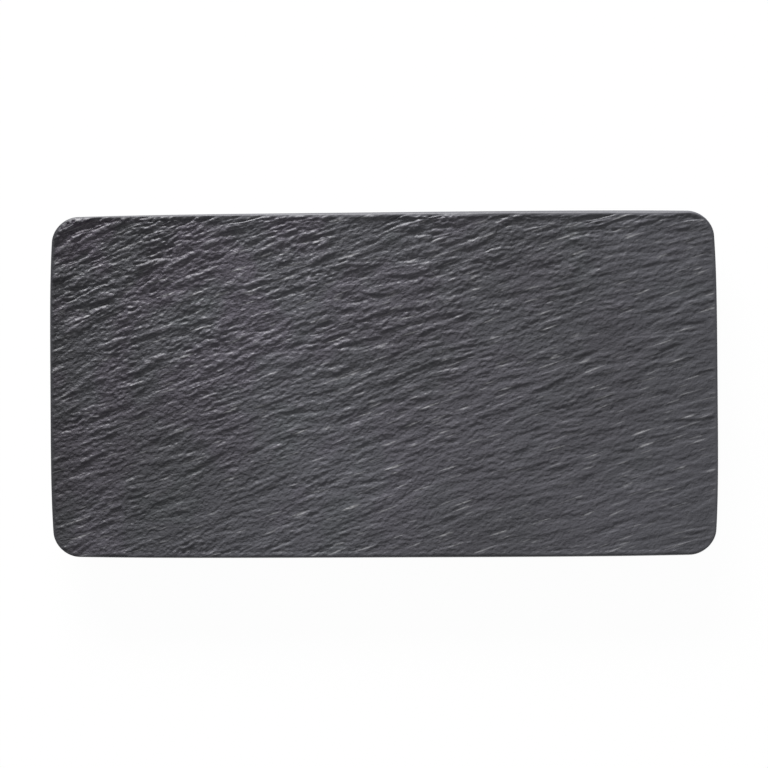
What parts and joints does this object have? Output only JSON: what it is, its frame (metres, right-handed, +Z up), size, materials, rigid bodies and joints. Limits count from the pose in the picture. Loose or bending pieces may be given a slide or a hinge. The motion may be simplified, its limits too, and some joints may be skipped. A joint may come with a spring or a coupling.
{
  "type": "rectangular serving platter",
  "caption": "Rectangular slate-effect stoneware platter with a riven matt top, a slightly upturned lip, rounded corners and silicone anti-slip pads set in sockets underneath.",
  "frame": {"origin": "on the table under the middle of the platter, at the height of the pads' lower faces", "axes": "+X along the platter's length to the right, +Y across it to the back, +Z up"},
  "size_m": [0.35, 0.181, 0.0119],
  "materials": {
    "slate_glaze": "matt anthracite glaze over a riven relief",
    "pad_silicone": "matt moulded silicone"
  },
  "bodies": {
    "root": {"platter_body": "slate_glaze", "foot_pad_front_left": "pad_silicone", "foot_pad_front_right": "pad_silicone", "foot_pad_rear_left": "pad_silicone", "foot_pad_rear_right": "pad_silicone"}
  },
  "joints": []
}
